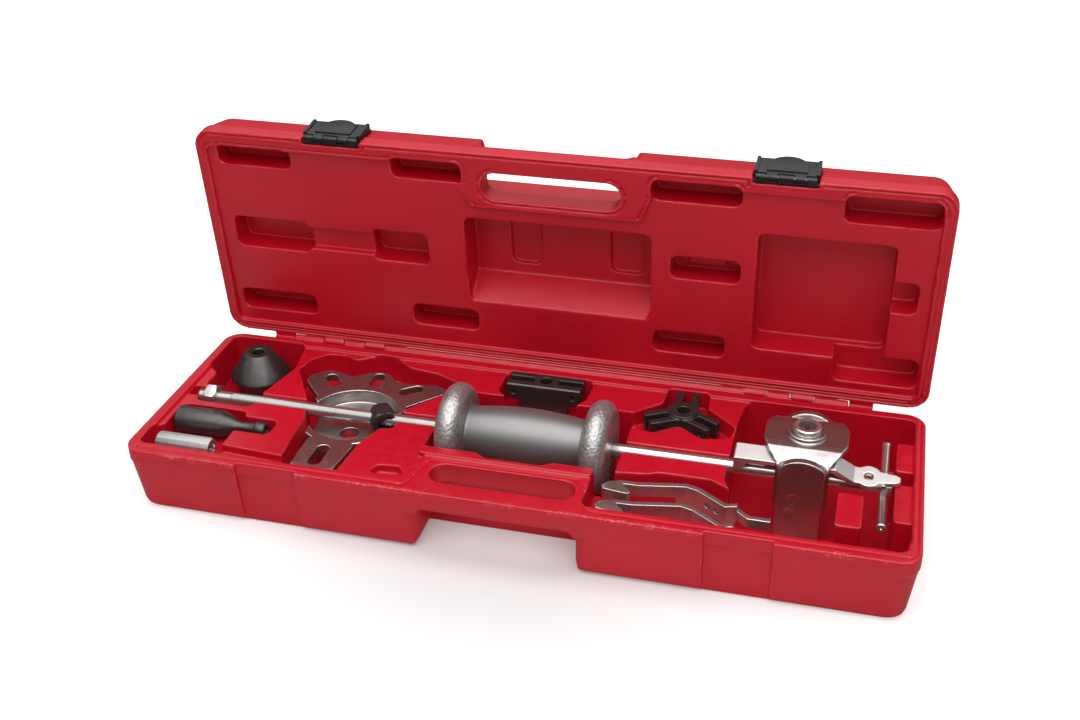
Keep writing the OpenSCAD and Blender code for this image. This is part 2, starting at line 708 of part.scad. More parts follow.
module hinge_pin(side) {
  color(chrome) translate([side * hinge_x, hinge_y, base_h])
    rod_along_x(hinge_pin_d / 2, -hinge_l / 2 - hinge_gap, hinge_l / 2 + hinge_gap);
}

module hinge_pin_left() { hinge_pin(-1); }
module hinge_pin_right() { hinge_pin(1); }

// Latches, drawn on the closed lid with the flap folded back over the lid wall
base_knuckle_shares = [[-0.47, -0.31], [-0.12, 0.12], [0.31, 0.47]];
flap_knuckle_shares = [[-0.3, -0.13], [0.13, 0.3]];

// Knuckles round the latch pin, each with a web that reaches back or up by the given lengths
module latch_knuckles(x, shares, back, up) {
  for (s = shares)
    translate([x, latch_pin_y, latch_pin_z]) difference() {
      union() {
        rod_along_x(latch_knuckle_r, s[0] * latch_w, s[1] * latch_w);
        block(s[0] * latch_w, s[1] * latch_w, 0, back, -latch_knuckle_r, latch_knuckle_r);
        block(s[0] * latch_w, s[1] * latch_w, -latch_knuckle_r, 0, 0, up);
      }
      rod_along_x(latch_pin_d / 2 + pin_fit, s[0] * latch_w - over, s[1] * latch_w + over);
    }
}

module latch_base(x) {
  color(latch_black) swung_open() {
    block(x - latch_w / 2, x + latch_w / 2, latch_seat_y - latch_t, latch_seat_y - seat_gap,
      latch_pin_z - latch_t / 2, latch_pin_z + flap_h);
    latch_knuckles(x, base_knuckle_shares, latch_t + over, eps);
  }
}

module latch_flap(x) {
  flap_y = latch_pin_y - latch_knuckle_r;
  inner_y = latch_seat_y - latch_t - seat_gap;
  tab_r = latch_w / 3.2;
  panel = latch_t / 2;
  low = latch_pin_z + latch_knuckle_r + seat_gap;
  high = latch_pin_z + flap_h;
  color(latch_black) swung_open() {
    latch_knuckles(x, flap_knuckle_shares, eps, latch_knuckle_r + latch_t);
    block(x - latch_w / 2, x + latch_w / 2, flap_y, inner_y, low, high - latch_t);
    intersection() {
      translate([x, flap_y, high - tab_r + latch_t]) rotate([-90, 0, 0])
        cylinder(r = tab_r, h = inner_y - flap_y);
      block(x - tab_r, x + tab_r, flap_y, inner_y, low, high + latch_t);
    }
    block(x - latch_w / 3.2, x + latch_w / 3.2, flap_y - panel, flap_y + eps,
      low + latch_t, high - 2 * latch_t);
    for (side = [-1, 1]) block(x + side * latch_w / 2 - (side > 0 ? latch_t : 0),
      x + side * latch_w / 2 + (side > 0 ? 0 : latch_t), flap_y - panel, flap_y + eps,
      low, high - latch_t);
  }
}

module latch_pin(x) {
  color(chrome) swung_open() translate([x, latch_pin_y, latch_pin_z])
    rod_along_x(latch_pin_d / 2, base_knuckle_shares[0][0] * latch_w,
      base_knuckle_shares[2][1] * latch_w);
}

module latch_base_left() { latch_base(mid_x - latch_x); }
module latch_base_right() { latch_base(mid_x + latch_x); }
module latch_pin_left() { latch_pin(mid_x - latch_x); }
module latch_pin_right() { latch_pin(mid_x + latch_x); }
module latch_flap_left() { latch_flap(mid_x - latch_x); }
module latch_flap_right() { latch_flap(mid_x + latch_x); }

// Slide rod with a ringed thread at its tip and a cross hole at the other end
module slide_rod() {
  groove = pitch / 2.5;
  rings = floor(thread_l / pitch);
  chamfer = rod_r / 4;
  color(chrome) difference() {
    translate([rod_tip, rod_y, rod_z]) rotate([0, 90, 0]) rotate_extrude()
      polygon(concat([[0, 0], [rod_r - groove, 0]],
        [for (k = [0:rings - 1], half_step = [0, 1])
          [rod_r - groove * (1 - half_step), pitch * (k + half_step / 2) + eps]],
        [[rod_r - groove, rings * pitch + eps], [rod_r, rings * pitch + pitch],
          [rod_r, rod_l - chamfer], [rod_r - chamfer, rod_l], [0, rod_l]]));
    translate([handle_x, rod_y, rod_z]) rotate([90, 0, 0])
      cylinder(r = handle_d / 2 + pin_fit, h = 2 * rod_d, center = true);
  }
}

// Weight: two fully rounded flanges, a barrel grip and a bore for the rod
module hammer_weight() {
  flange_r = flange_d / 2;
  round_r = flange_l / 2;
  groove = pitch / 2;
  half = weight_l / 2;
  color(hammered) translate([weight_x, rod_y, rod_z]) rotate([0, 90, 0]) rotate_extrude($fn = 96)
    polygon(concat([[rod_r + run_fit, -half]],
      [for (turn = [-90:15:90]) [flange_r - round_r + round_r * cos(turn),
        round_r - half + round_r * sin(turn)]],
      [[neck_d / 2 + groove, flange_l - half + groove]],
      [for (t = [0:0.1:1]) [neck_d / 2 + (grip_d - neck_d) / 2 * sin(180 * t),
        (flange_l + 2 * groove - half) + t * (weight_l - 2 * flange_l - 4 * groove)]],
      [[neck_d / 2 + groove, half - flange_l - groove]],
      [for (turn = [-90:15:90]) [flange_r - round_r + round_r * cos(turn),
        half - round_r + round_r * sin(turn)]],
      [[rod_r + run_fit, half]]));
}

module lock_nut() {
  bevel = nut_l / 6;
  color(chrome) translate([nut_x, rod_y, rod_z]) rotate([0, 90, 0]) difference() {
    intersection() {
      translate([0, 0, -nut_l / 2]) hexagon(nut_af, nut_l);
      rotate_extrude() polygon([[0, -nut_l / 2], [nut_af / 2, -nut_l / 2],
        [hex_r(nut_af) + eps, bevel - nut_l / 2], [hex_r(nut_af) + eps, nut_l / 2 - bevel],
        [nut_af / 2, nut_l / 2], [0, nut_l / 2]]);
    }
    cylinder(r = rod_r + run_fit, h = 2 * nut_l, center = true);
  }
}

module cross_handle() {
  swage = knob_d / 2;
  dimple = handle_d / 5;
  color(chrome) translate([handle_x, handle_y, rod_z]) rotate([90, 0, 0]) difference() {
    union() {
      cylinder(d = handle_d, h = handle_l - swage, center = true);
      for (side = [0, 1]) mirror([0, 0, side]) translate([0, 0, handle_l / 2 - swage])
        rotate_extrude() polygon([[0, 0], [handle_d / 2, 0], [knob_d / 2, swage / 2],
          [knob_d / 2, 0.8 * swage], [handle_d / 2, swage], [0, swage]]);
    }
    for (side = [0, 1]) mirror([0, 0, side]) translate([0, 0, handle_l / 2 + dimple / 2])
      sphere(r = dimple);
  }
}

// Hexagonal block crossed by the rod, with its own threaded bore
module cross_adapter() {
  bevel = adapter_l / 12;
  color(oxide) translate([adapter_x, rod_y, rod_z]) difference() {
    rotate([90, 0, adapter_turn]) difference() {
      intersection() {
        translate([0, 0, -adapter_l / 2]) hexagon(adapter_af, adapter_l);
        rotate_extrude() polygon([[0, -adapter_l / 2], [adapter_af / 2, -adapter_l / 2],
          [hex_r(adapter_af) + eps, bevel - adapter_l / 2],
          [hex_r(adapter_af) + eps, adapter_l / 2 - bevel],
          [adapter_af / 2, adapter_l / 2], [0, adapter_l / 2]]);
      }
      cylinder(d = adapter_bore_d, h = 2 * adapter_l, center = true);
    }
    rod_along_x(rod_r + run_fit, -2 * adapter_l, 2 * adapter_l);
  }
}

// Double taper cone with a threaded hole
module pulling_cone() {
  hole_r = cone_top_d / 4.5;
  lip = cone_drop / 18;
  color(oxide) translate([cone_x, cone_y, cone_foot]) difference() {
    rotate_extrude($fn = 72) polygon([[0, 0], [cone_foot_d / 2 - lip, 0],
      [cone_foot_d / 2, lip], [cone_d / 2 - lip, cone_drop - lip], [cone_d / 2, cone_drop],
      [cone_d / 2 - lip, cone_drop + 2 * lip], [cone_top_d / 2 + lip, cone_drop + cone_rise - lip],
      [cone_top_d / 2, cone_drop + cone_rise], [0, cone_drop + cone_rise]]);
    translate([0, 0, -over]) cylinder(r = hole_r, h = cone_drop + cone_rise + 2 * over);
    translate([0, 0, cone_drop + cone_rise - lip]) cylinder(r1 = hole_r, r2 = hole_r + 2 * lip,
      h = 2 * lip);
  }
}

// Straight body that tapers to a flattened neck with a ring at its end
module taper_adapter() {
  bore_r = taper_d / 4;
  bore_l = 0.7 * taper_body_l;
  neck_l = taper_l - taper_body_l;
  lip = taper_d / 20;
  color(oxide) translate([taper_x, taper_y, taper_z]) rotate([0, 90, 0]) difference() {
    rotate_extrude() polygon([[0, 0], [taper_d / 2 - lip, 0], [taper_d / 2, lip],
      [taper_d / 2, taper_body_l], [0.8 * taper_d / 2, taper_body_l + neck_l / 6],
      [taper_neck_d / 2, taper_body_l + neck_l / 2.4], [taper_neck_d / 2, taper_l - neck_l / 4],
      [taper_ring_d / 2, taper_l - neck_l / 5], [taper_ring_d / 2, taper_l - lip],
      [taper_ring_d / 2 - lip, taper_l], [0, taper_l]]);
    translate([0, 0, -over]) cylinder(r = bore_r, h = bore_l + over);
    translate([0, 0, taper_l - neck_l / 5]) cylinder(d = taper_neck_d / 1.6, h = neck_l);
  }
}

module long_coupling() {
  bevel = coupling_af / 12;
  color(chrome) translate([coupling_x, coupling_y, coupling_z]) rotate([0, 90, 0])
    difference() {
      intersection() {
        rotate([0, 0, 30]) hexagon(coupling_af, coupling_l);
        rotate_extrude() polygon([[0, 0], [coupling_af / 2, 0],
          [hex_r(coupling_af) + eps, bevel], [hex_r(coupling_af) + eps, coupling_l - bevel],
          [coupling_af / 2, coupling_l], [0, coupling_l]]);
      }
      translate([0, 0, -over]) cylinder(d = coupling_bore_d, h = coupling_l + 2 * over);
    }
}

// One casting: fan of three slotted lobes and a slotted ear on a sunk hub
module flange_plate() {
  lobe_r = bowl_r / 6;
  wall = lobe_t;
  bore_y = hub_hole_y_share * bowl_r;
  color(cast_chrome) translate([plate_x, plate_y, 0]) difference() {
    union() {
      difference() {
        prism(soft(spread(lobe_shares, bowl_r, bowl_r), lobe_r), plate_top - lobe_t, plate_top);
        translate([0, 0, hub_foot]) cylinder(r = bowl_r, h = base_h, $fn = 96);
      }
      prism(soft(spread(ear_shares, bowl_r, bowl_r), lobe_r / 2), plate_top - lobe_t, plate_top);
      intersection() {
        prism(soft(spread(hub_shares, bowl_r + wall, bowl_r + wall), lobe_r / 2), hub_foot,
          plate_top - eps);
        union() {
          translate([0, 0, hub_foot]) cylinder(r = bowl_r + wall / 2, h = hub_t, $fn = 96);
          difference() {
            translate([0, 0, hub_foot]) cylinder(r = bowl_r + wall, h = plate_top - hub_foot,
              $fn = 96);
            translate([0, 0, hub_foot - over]) cylinder(r = bowl_r, h = base_h, $fn = 96);
          }
        }
      }
    }
    translate([0, bore_y, hub_foot - over]) cylinder(d = hub_hole_d, h = hub_t + 2 * over);
    for (s = lobe_slot_shares)
      translate([s[0] * bowl_r, s[1] * bowl_r, hub_foot - over]) rotate([0, 0, s[2]])
        stadium(stud_slot_l, stud_slot_w, base_h);
    translate([ear_slot_share[0] * bowl_r, ear_slot_share[1] * bowl_r, hub_foot - over])
      rotate([0, 0, 90]) stadium(ear_slot_l, stud_slot_w, base_h);
  }
}

// Bar with a central boss, open at both ends for the jaws, notched under its ends
module two_jaw_crosshead() {
  top = cross_h;
  notch_r = cross_h / 4;
  slot_in_l = cross_l / 3;
  color(oxide) translate([cross_x, cross_y, cross_top - cross_h]) difference() {
    block(-cross_l / 2, cross_l / 2, -cross_w / 2, cross_w / 2, 0, top);
    for (side = [-1, 1]) {
      translate([side * (cross_l / 2 - notch_r / 2), 0, notch_r / 2]) rotate([90, 0, 0])
        cylinder(r = 1.3 * notch_r, h = 2 * cross_w, center = true);
      translate([side * (cross_l / 2 - slot_in_l / 2 + over), 0, cross_h / 2])
        cube([slot_in_l + 2 * over, jaw_slot_w, 2 * cross_h], center = true);
      translate([side * (cross_l / 2 - notch_r), 0, 0.7 * cross_h]) rotate([90, 0, 0])
        cylinder(d = jaw_slot_w / 1.5, h = 2 * cross_w, center = true);
    }
    translate([0, 0, -over]) cylinder(d = cross_hole_d, h = cross_h + 2 * over);
    for (side = [-1, 1]) block(-cross_l / 2 - over, cross_l / 2 + over,
      side > 0 ? cross_w / 2 - over : -cross_w / 2 - over,
      side > 0 ? cross_w / 2 + over : over - cross_w / 2, top - over, top + over);
  }
}

// Three forked arms round a boss, joined by rounded webs
module three_jaw_crosshead() {
  pin_at = 0.78 * arm_reach;
  tip_r = arm_w / 9;
  web_r = arm_w / 1.6;
  turns = [90, 210, 330];
  pts = [for (a = turns)
    each [arm_reach * [cos(a), sin(a)] + arm_w / 2 * [sin(a), -cos(a)],
      arm_reach * [cos(a), sin(a)] - arm_w / 2 * [sin(a), -cos(a)],
      hex_r(arm_w) * [cos(a + 60), sin(a + 60)]]];
  n = len(pts);
  star = [for (i = [0:n - 1]) each corner_arc(pts[(i + n - 1) % n], pts[i], pts[(i + 1) % n],
    i % 3 == 2 ? web_r : tip_r)];
  color(oxide) translate([arms_x, arms_y, arms_top - arm_h]) difference() {
    union() {
      cylinder(d = arm_boss_d, h = arm_h);
      prism(star, arm_h / 8, 0.88 * arm_h);
    }
    for (turn = turns) rotate([0, 0, turn]) {
      block(arm_boss_d / 2 + over, arm_reach + over, -jaw_slot_w / 2, jaw_slot_w / 2, -over,
        arm_h + over);
      translate([pin_at, 0, arm_h / 2]) rotate([90, 0, 0])
        cylinder(d = jaw_slot_w / 1.6, h = 2 * arm_w, center = true);
    }
    translate([0, 0, -over]) cylinder(d = cross_hole_d, h = arm_h + 2 * over);
  }
}

// Pulling jaw: a bent flat bar on its edge with a hooked end and two pin holes
function band_pts(path, t) = let (n = len(path),
    ways = [for (i = [0:n - 1]) unit_v((i < n - 1 ? unit_v(path[i + 1] - path[i]) : [0, 0]) +
      (i > 0 ? unit_v(path[i] - path[i - 1]) : [0, 0]))],
    left = [for (i = [0:n - 1]) path[i] + t / 2 * [-ways[i][1], ways[i][0]]],
    right = [for (i = [n - 1:-1:0]) path[i] - t / 2 * [-ways[i][1], ways[i][0]]])
  concat(left, right);

module jaw(shift) {
  hole_d = jaw_slot_w / 1.5;
  color(chrome) translate([jaw_x, jaw_y - shift, jaw_foot]) difference() {
    union() {
      prism(band_pts(spread(jaw_path_shares, jaw_l, jaw_l), jaw_t), 0, jaw_h);
      prism(soft(spread(jaw_claw_shares, jaw_l, jaw_l), jaw_t / 3), 0, jaw_h);
    }
    block(-jaw_l, jaw_slim_share * jaw_l, -jaw_l, jaw_l, -over, jaw_h * (1 - jaw_slim_h_share));
    for (at = [0.62, 0.68]) translate([at * jaw_l, 0, jaw_h / 2]) rotate([90, 0, 0])
      cylinder(d = hole_d, h = jaw_l, center = true);
    block(0.8 * jaw_l, jaw_l + jaw_t, -jaw_l / 4, jaw_l / 4, 0.75 * jaw_h, jaw_h + over);
    block(0.8 * jaw_l, jaw_l + jaw_t, -jaw_l / 4, jaw_l / 4, -over, 0.25 * jaw_h);
  }
}

module jaw_back() { jaw(0); }
module jaw_front() { jaw(jaw_gap); }

// Bridge yoke: an arch whose crown flares out beyond its two legs
function arch_pts(d, top, r, foot) = concat([[-d / 2, foot], [-d / 2, top - r]],
  [for (turn = [165:-15:105]) [r - d / 2 + r * cos(turn), top - r + r * sin(turn)]],
  [[r - d / 2, top], [d / 2 - r, top]],
  [for (turn = [75:-15:15]) [d / 2 - r + r * cos(turn), top - r + r * sin(turn)]],
  [[d / 2, top - r], [d / 2, foot]]);

module across_x(pts, l) {
  rotate([90, 0, 90]) translate([0, 0, -l / 2]) linear_extrude(l) polygon(pts);
}

module bridge_yoke() {
  inner_d = yoke_d - 2 * leg_t;
  shoulder_r = 0.3 * yoke_d;
  rim_t = yoke_w / 18;
  proud = leg_t / 6;
  arch_rise = leg_w / 5;
  right = spread(crown_shares, yoke_w / 2, yoke_d / 2);
  plan = concat(right, [for (i = [len(right) - 1:-1:0]) [-right[i][0], right[i][1]]]);
  color(cast_chrome) translate([yoke_x, yoke_y, 0]) difference() {
    union() {
      intersection() {
        across_x(arch_pts(yoke_d - 2 * proud, yoke_top, shoulder_r, yoke_foot), yoke_w);
        prism(soft(plan, rim_t), yoke_top - 2 * shoulder_r, yoke_top + over);
      }
      for (side = [-1, 1]) translate([0, side * (yoke_d - leg_t) / 2, 0])
        yoke_leg(arch_rise);
      translate([0, 0, yoke_top - crown_t]) cylinder(d = boss_d, h = crown_t + boss_h);
    }
    across_x(arch_pts(inner_d, yoke_top - crown_t, leg_t, yoke_foot - over), 2 * yoke_w);
    translate([0, 0, yoke_foot]) cylinder(d = bush_d - 2 * rim_t, h = yoke_top);
    translate([0, 0, yoke_top - crown_t / 2]) cylinder(d = bush_d, h = yoke_top);
    for (s = leg_mark_shares)
      translate([s[0] * leg_w, -yoke_d / 2, yoke_foot + s[1] * (yoke_top - yoke_foot)])
        rotate([90, 0, 0]) cylinder(d = s[2] * leg_w, h = proud, center = true);
  }
}

// One leg of the yoke: a plate with an arched top edge that stands a little proud
module yoke_leg(arch_rise) {
  arch_r = (leg_w * leg_w / 4 + arch_rise * arch_rise) / (2 * arch_rise);
  arch_turn = asin(leg_w / 2 / arch_r);
  top = yoke_top - leg_t / 3;
  rotate([90, 0, 0]) translate([0, 0, -leg_t / 2]) linear_extrude(leg_t)
    polygon(concat([[-leg_w / 2, yoke_foot], [leg_w / 2, yoke_foot]],
      [for (k = [-1:0.25:1]) [-arch_r * sin(k * arch_turn),
        top - arch_r + arch_r * cos(k * arch_turn)]]));
}

// Threaded bush with a turned head, pressed into the yoke's boss
module yoke_bush() {
  rim_t = yoke_w / 18;
  bevel = bush_h / 5;
  seat = yoke_top - crown_t / 2;
  head = yoke_top + boss_h + bush_h;
  color(chrome) translate([yoke_x, yoke_y, 0]) difference() {
    union() {
      translate([0, 0, yoke_top - crown_t]) cylinder(d = bush_d - 2 * rim_t, h = crown_t);
      translate([0, 0, seat]) rotate_extrude() polygon([[0, 0], [bush_d / 2, 0],
        [bush_d / 2, head - seat - bevel], [bush_d / 2 - bevel, head - seat], [0, head - seat]]);
    }
    translate([0, 0, yoke_foot]) cylinder(d = bush_bore_d, h = 2 * yoke_top);
  }
}

// Cranked lever: a hook at one end, an eye and a point at the other, lying tilted on the rod
module hook_lever() {
  rise = lever_high - lever_low;
  hook = lever_hook_share * lever_l;
  kink_a = (lever_kink_shares[0] - 1) * lever_l;
  kink_b = (lever_kink_shares[1] - 1) * lever_l;
  eye_x = (eye_at_share - 1) * lever_l;
  tip = tip_w_share * lever_w;
  color(chrome) translate([lever_end, lever_y, lever_low]) rotate([lever_tilt, 0, 0])
    difference() {
      intersection() {
        rotate([90, 0, 0]) translate([0, 0, -lever_l]) linear_extrude(2 * lever_l)
          polygon(soft([[-lever_l, 0], [hook / 2 - lever_l, 0], [hook - lever_l, rise],
            [kink_a, rise], [kink_b, 0], [0, 0], [0, lever_t], [kink_b + lever_t / 2, lever_t],
            [kink_a + lever_t / 2, rise + lever_t], [-lever_l, rise + lever_t]], lever_t / 3));
        translate([0, 0, -over]) linear_extrude(base_h) union() {
          translate([-lever_l - over, -lever_w / 2]) square([eye_x + lever_l, lever_w]);
          translate([eye_x, 0]) circle(d = eye_d);
          polygon([[eye_x, -eye_d / 3], [-tip, -tip], [0, -tip / 2], [0, tip / 2], [-tip, tip],
            [eye_x, eye_d / 3]]);
        }
      }
      translate([eye_x, 0, -over]) cylinder(d = eye_hole_d, h = base_h);
    }
}

case_base();
case_lid();
hinge_pin_left();
hinge_pin_right();
latch_base_left();
latch_base_right();
latch_pin_left();
latch_pin_right();
latch_flap_left();
latch_flap_right();
slide_rod();
hammer_weight();
lock_nut();
cross_handle();
cross_adapter();
pulling_cone();
taper_adapter();
long_coupling();
flange_plate();
two_jaw_crosshead();
three_jaw_crosshead();
jaw_back();
jaw_front();
bridge_yoke();
yoke_bush();
hook_lever();
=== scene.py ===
"""Slide hammer puller kit in its open moulded case: pieces, finishes and studio."""
import json
import math

import bpy
from bpy.props import FloatProperty, FloatVectorProperty, IntProperty, PointerProperty
from mathutils import Matrix, Vector

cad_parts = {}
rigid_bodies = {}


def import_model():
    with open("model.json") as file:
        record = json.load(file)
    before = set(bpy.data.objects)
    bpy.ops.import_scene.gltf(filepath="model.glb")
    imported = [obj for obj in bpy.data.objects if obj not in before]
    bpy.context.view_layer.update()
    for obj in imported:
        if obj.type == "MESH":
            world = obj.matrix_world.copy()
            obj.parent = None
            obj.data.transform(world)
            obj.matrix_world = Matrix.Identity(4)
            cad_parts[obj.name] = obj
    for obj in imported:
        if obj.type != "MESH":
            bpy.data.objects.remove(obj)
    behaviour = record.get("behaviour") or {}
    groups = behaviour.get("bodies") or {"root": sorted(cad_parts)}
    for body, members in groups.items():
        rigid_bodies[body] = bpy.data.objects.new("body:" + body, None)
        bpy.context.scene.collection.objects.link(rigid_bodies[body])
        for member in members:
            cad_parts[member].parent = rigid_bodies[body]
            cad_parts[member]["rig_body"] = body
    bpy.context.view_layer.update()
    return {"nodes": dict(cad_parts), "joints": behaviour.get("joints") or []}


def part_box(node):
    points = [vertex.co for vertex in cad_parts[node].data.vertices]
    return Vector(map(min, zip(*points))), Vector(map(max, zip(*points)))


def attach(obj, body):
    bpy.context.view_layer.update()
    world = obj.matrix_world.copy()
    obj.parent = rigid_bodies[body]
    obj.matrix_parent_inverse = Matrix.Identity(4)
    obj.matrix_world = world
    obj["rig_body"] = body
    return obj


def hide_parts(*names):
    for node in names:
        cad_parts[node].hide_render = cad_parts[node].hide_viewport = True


bl_info = {
    "name": "Slide Hammer Puller Kit",
    "version": (1, 0, 0),
    "blender": (4, 5, 0),
    "location": "3D View > Sidebar > Puller Kit",
    "description": "Builds the softened, finished pieces of a slide hammer puller kit",
    "category": "Object",
}

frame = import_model()

ALL_ROUND = 180.0     # degrees: every edge of a moulded or cast piece is shaded smooth
TURNED = 40.0         # degrees: edges sharper than this stay crisp on turned pieces
HEXAGON = 32.0        # degrees: the same on plated pieces with flats
FLAT = 0.2            # degrees: flatter seams between a node's triangles are dissolved
CLEAR_FLAT = 0.5      # degrees: the same on latches and pins
FACING = 0.99         # cosine: a face counts as facing a direction from here
BASE_DEEPER = 1.4     # how much the base's groove is deepened, in widths of the rim groove
LID_DEEP = 1.2        # how deep the lid's lines are, in widths of the rim groove
JAW_DETAIL = 0.75     # detail of the jaws and the lever, in voxels of a casting
HEAD_DETAIL = 0.8     # detail of the crossheads, in voxels of a casting


# ---------------------------------------------------------------- settings

class CaseSettings(bpy.types.PropertyGroup):
    """Sizes and colours of the moulded case and its latches"""
    voxel: FloatProperty(name="Moulding detail", default=0.00090, unit="LENGTH",
        description="Size of the smallest detail that the soft moulding keeps")
    soft_passes: IntProperty(name="Edge softness", default=9,
        description="How many times the moulded edges are smoothed")
    triangles: IntProperty(name="Triangles", default=185000,
        description="Most triangles that one moulded half may have")
    groove: FloatProperty(name="Rim groove", default=0.0019, unit="LENGTH",
        description="Width of the lines cut along the rims, and the unit of their depth")
    groove_in: FloatProperty(name="Groove from edge", default=0.0025, unit="LENGTH",
        description="How far the lid's lines stand in from the edges of its rim")
    recess_floor: FloatProperty(name="Recess floor", default=0.0189, unit="LENGTH",
        description="How deep the floors of the lid's small recesses lie under its rim")
    recess_deeper: FloatProperty(name="Recess deeper", default=0.009, unit="LENGTH",
        description="How much further those floors are pushed in")
    groove_floor: FloatProperty(name="Groove floor", default=0.0658, unit="LENGTH",
        description="Height of the floor of the groove in the base's rim")
    latch_edge: FloatProperty(name="Latch edges", default=0.00045, unit="LENGTH",
        description="Width of the rounded edges of the latches")
    pin_edge: FloatProperty(name="Pin edges", default=0.0003, unit="LENGTH",
        description="Width of the broken edges of the pins")
    red: FloatVectorProperty(name="Case red", default=(0.56, 0.002, 0.017), subtype="COLOR",
        description="Colour of the moulded plastic")
    black: FloatVectorProperty(name="Latch black", default=(0.008, 0.0075, 0.0075),
        subtype="COLOR", description="Colour of the latches")


class ToolSettings(bpy.types.PropertyGroup):
    """Edge sizes and colours of the steel tools"""
    edge: FloatProperty(name="Machined edges", default=0.0003, unit="LENGTH",
        description="Width of the broken edges on machined tools")
    weight_edge: FloatProperty(name="Weight edges", default=0.0012, unit="LENGTH",
        description="Width of the rounded edges of the weight")
    flange: FloatProperty(name="Weight flange", default=0.024, unit="LENGTH",
        description="Length of each hammered flange of the weight")
    cast_voxel: FloatProperty(name="Casting detail", default=0.0006, unit="LENGTH",
        description="Size of the smallest detail that a casting keeps")
    cast_passes: IntProperty(name="Casting softness", default=5,
        description="How many times the edges of castings are smoothed")
    plate_passes: IntProperty(name="Plate and yoke softness", default=8,
        description="How many times the edges of the flange plate and the yoke are smoothed")
    thin_triangles: IntProperty(name="Jaw triangles", default=60000,
        description="Most triangles that a jaw or the lever may have")
    head_triangles: IntProperty(name="Crosshead triangles", default=70000,
        description="Most triangles that a crosshead may have")
    cast_triangles: IntProperty(name="Casting triangles", default=120000,
        description="Most triangles that the flange plate or the yoke may have")
    chrome: FloatVectorProperty(name="Chrome", default=(0.60, 0.585, 0.57), subtype="COLOR",
        description="Colour of the bright plating")
    casting: FloatVectorProperty(name="Plated casting", default=(0.42, 0.385, 0.37),
        subtype="COLOR", description="Colour of the plating on rough castings")
    oxide: FloatVectorProperty(name="Black oxide", default=(0.070, 0.065, 0.063),
        subtype="COLOR", description="Colour of the blackened steel")
    hammertone: FloatVectorProperty(name="Hammertone", default=(0.40, 0.39, 0.385),
        subtype="COLOR", description="Colour of the weight's paint")


class StageSettings(bpy.types.PropertyGroup):
    """Camera place, lens and lamps"""
    camera_at: FloatVectorProperty(name="Camera place", default=(0.27671, -0.98885, 0.73828),
        subtype="TRANSLATION", description="Where the camera stands")
    heading: FloatProperty(name="Heading", default=math.radians(14.99), subtype="ANGLE",
        description="Turn of the camera to the left of straight ahead")
    dip: FloatProperty(name="Dip", default=math.radians(30.09), subtype="ANGLE",
        description="How far the camera looks down")
    roll: FloatProperty(name="Roll", default=math.radians(-0.77), subtype="ANGLE",
        description="Lean of the camera about its own line of sight")
    lens: FloatProperty(name="Lens", default=44.637,
        description="Focal length in millimetres on a 36 mm wide sensor")
    key_at: FloatVectorProperty(name="Key lamp place", default=(0.05, -0.50, 1.85),
        subtype="TRANSLATION", description="Where the large lamp over the case hangs")
    key_size: FloatProperty(name="Key lamp size", default=2.3, unit="LENGTH",
        description="Side of the large lamp")
    fill_at: FloatVectorProperty(name="Fill lamp place", default=(0.9, -1.9, 1.2),
        subtype="TRANSLATION", description="Where the lamp beside the camera stands")
    fill_size: FloatProperty(name="Fill lamp size", default=1.2, unit="LENGTH",
        description="Side of the lamp beside the camera")
    lit: FloatVectorProperty(name="Lamps point at", default=(0.0, 0.0, 0.1),
        subtype="TRANSLATION", description="The point that both lamps face")
    key_power: FloatProperty(name="Key lamp", default=42.5, unit="POWER",
        description="Power of the large lamp over the case")
    fill_power: FloatProperty(name="Fill lamp", default=4.0, unit="POWER",
        description="Power of the lamp beside the camera")
    sky: FloatProperty(name="Sky", default=0.16,
        description="Strength of the pale surroundings on the object")
    floor_size: FloatProperty(name="Floor", default=16.0, unit="LENGTH",
        description="Side of the pale floor")
    floor_glow: FloatProperty(name="Floor glow", default=0.25,
        description="Share of plain white that the camera sees in the floor")


def settings():
    """The three groups of settings, in the order that make() takes them"""
    scene = bpy.context.scene
    return scene.puller_case, scene.puller_tools, scene.puller_stage


# ---------------------------------------------------------------- modelling help

def only(piece):
    """Selects one object and makes it active"""
    if bpy.context.mode != "OBJECT":
        bpy.ops.object.mode_set(mode="OBJECT")
    bpy.ops.object.select_all(action="DESELECT")
    piece.hide_set(False)
    piece.select_set(True)
    bpy.context.view_layer.objects.active = piece


def merged_copy(node, name, flat=0.0):
    """A copy of a CAD node, its loose triangles joined and flat seams dissolved"""
    piece = bpy.data.objects.new(name, frame["nodes"][node].data.copy())
    bpy.context.scene.collection.objects.link(piece)
    only(piece)
    if piece.data.has_custom_normals:
        bpy.ops.mesh.customdata_custom_splitnormals_clear()
    bpy.ops.object.mode_set(mode="EDIT")
    bpy.ops.mesh.select_all(action="SELECT")
    bpy.ops.mesh.remove_doubles(threshold=0.000002)
    if flat:
        bpy.ops.mesh.dissolve_limited(angle_limit=math.radians(flat))
    bpy.ops.object.mode_set(mode="OBJECT")
    return piece


def applied(piece, kind, **values):
    """Adds a modifier with these values and applies it"""
    only(piece)
    bpy.ops.object.modifier_add(type=kind)
    modifier = piece.modifiers[-1]
    for key, value in values.items():
        setattr(modifier, key, value)
    bpy.ops.object.modifier_apply(modifier=modifier.name)


def chosen(piece, test):
    """Opens the piece in edit mode with the faces selected that pass the test"""
    only(piece)
    for part in (piece.data.vertices, piece.data.edges, piece.data.polygons):
        part.foreach_set("select", [False] * len(part))
    for face in piece.data.polygons:
        face.select = test(face)
    bpy.ops.object.mode_set(mode="EDIT")
    bpy.ops.mesh.select_mode(type="FACE")


